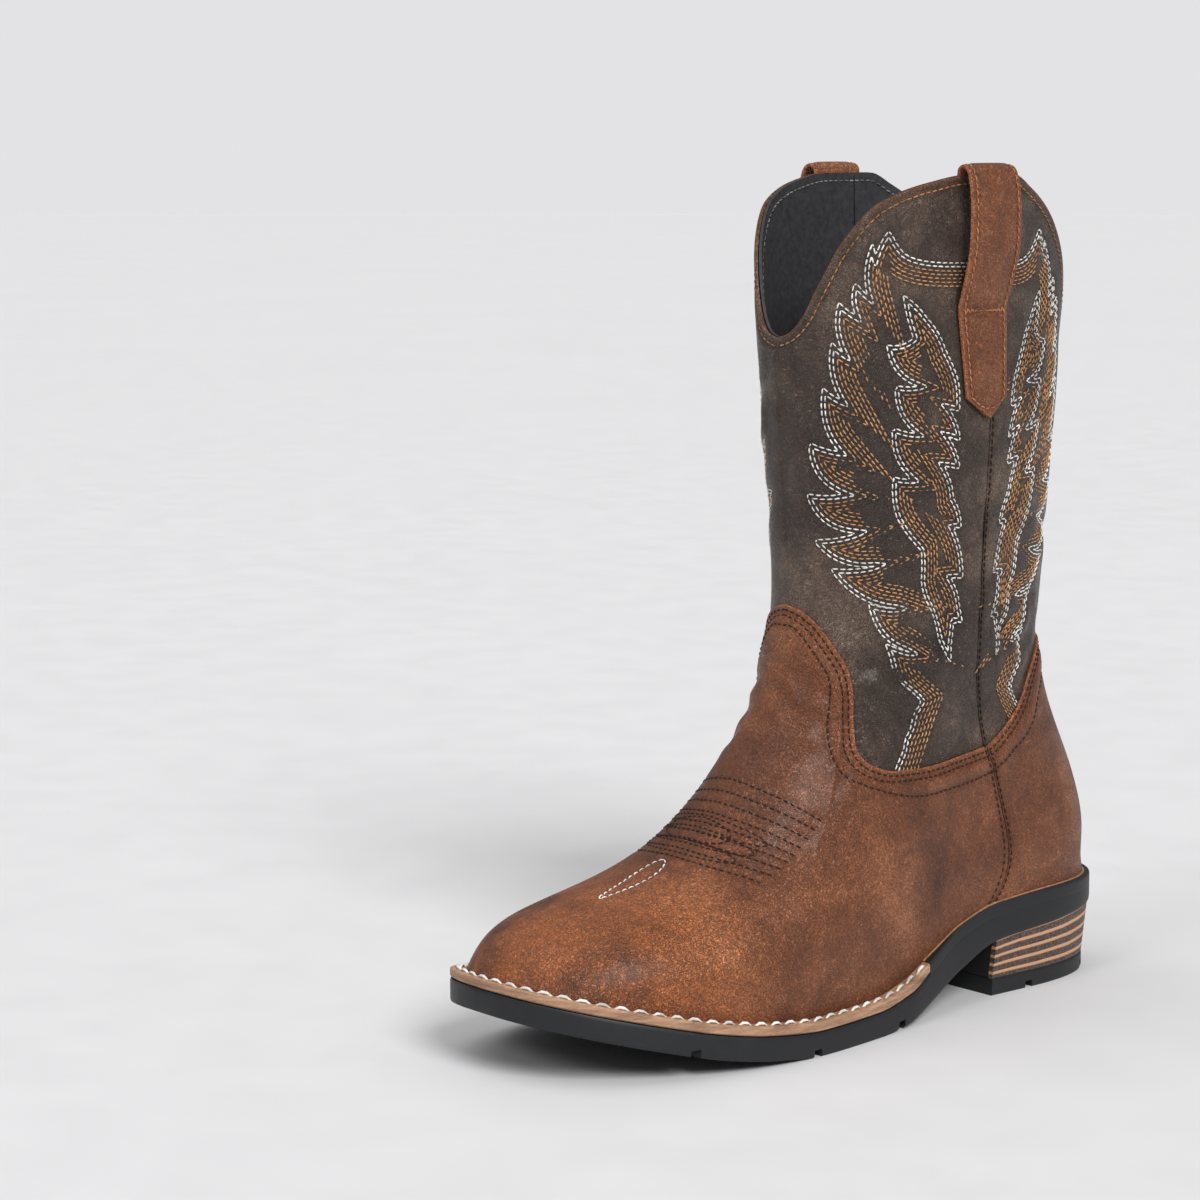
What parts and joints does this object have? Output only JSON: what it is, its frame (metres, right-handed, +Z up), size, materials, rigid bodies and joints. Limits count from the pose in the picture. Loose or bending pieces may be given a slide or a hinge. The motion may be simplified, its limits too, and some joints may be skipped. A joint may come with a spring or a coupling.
{
  "type": "western boot",
  "caption": "Pull-on western boot, left foot: stitched shaft with scalloped topline and pull straps, brown vamp and heel foxing, stitched welt, lugged rubber sole and stacked heel.",
  "frame": {"origin": "the middle of the heel tread, on the ground", "axes": "+X toward the toe, +Y toward the outer side of the left foot, +Z up the shaft"},
  "size_m": [0.3091, 0.1117, 0.3332],
  "materials": {
    "shaft_leather": "scuffed satin",
    "foot_leather": "distressed satin",
    "lining": "matt",
    "fibre_board": "matt",
    "backing_cloth": "matt",
    "sole_rubber": "matt",
    "welt": "satin",
    "foam": "matt",
    "cork": "matt",
    "steel": "brushed",
    "heel_plastic": "matt",
    "heel_stack": "satin, banded"
  },
  "bodies": {
    "root": {"shaft_front": "shaft_leather", "shaft_back": "shaft_leather", "shaft_lining_front": "lining", "shaft_lining_back": "lining", "vamp": "foot_leather", "heel_foxing": "foot_leather", "vamp_lining": "lining", "heel_lining": "lining", "toe_puff": "fibre_board", "heel_counter": "fibre_board", "vamp_backing": "backing_cloth", "pull_strap_outer": "foot_leather", "pull_strap_inner": "foot_leather", "outsole": "sole_rubber", "welt": "welt", "insole_board": "fibre_board", "footbed": "foam", "footbed_cover": "lining", "bottom_filler": "cork", "shank": "steel", "heel_block": "heel_plastic", "heel_stack": "heel_stack", "heel_lift": "sole_rubber", "heel_nail_1": "steel", "heel_nail_2": "steel", "heel_nail_3": "steel", "heel_nail_4": "steel", "heel_screw": "steel"}
  },
  "joints": []
}
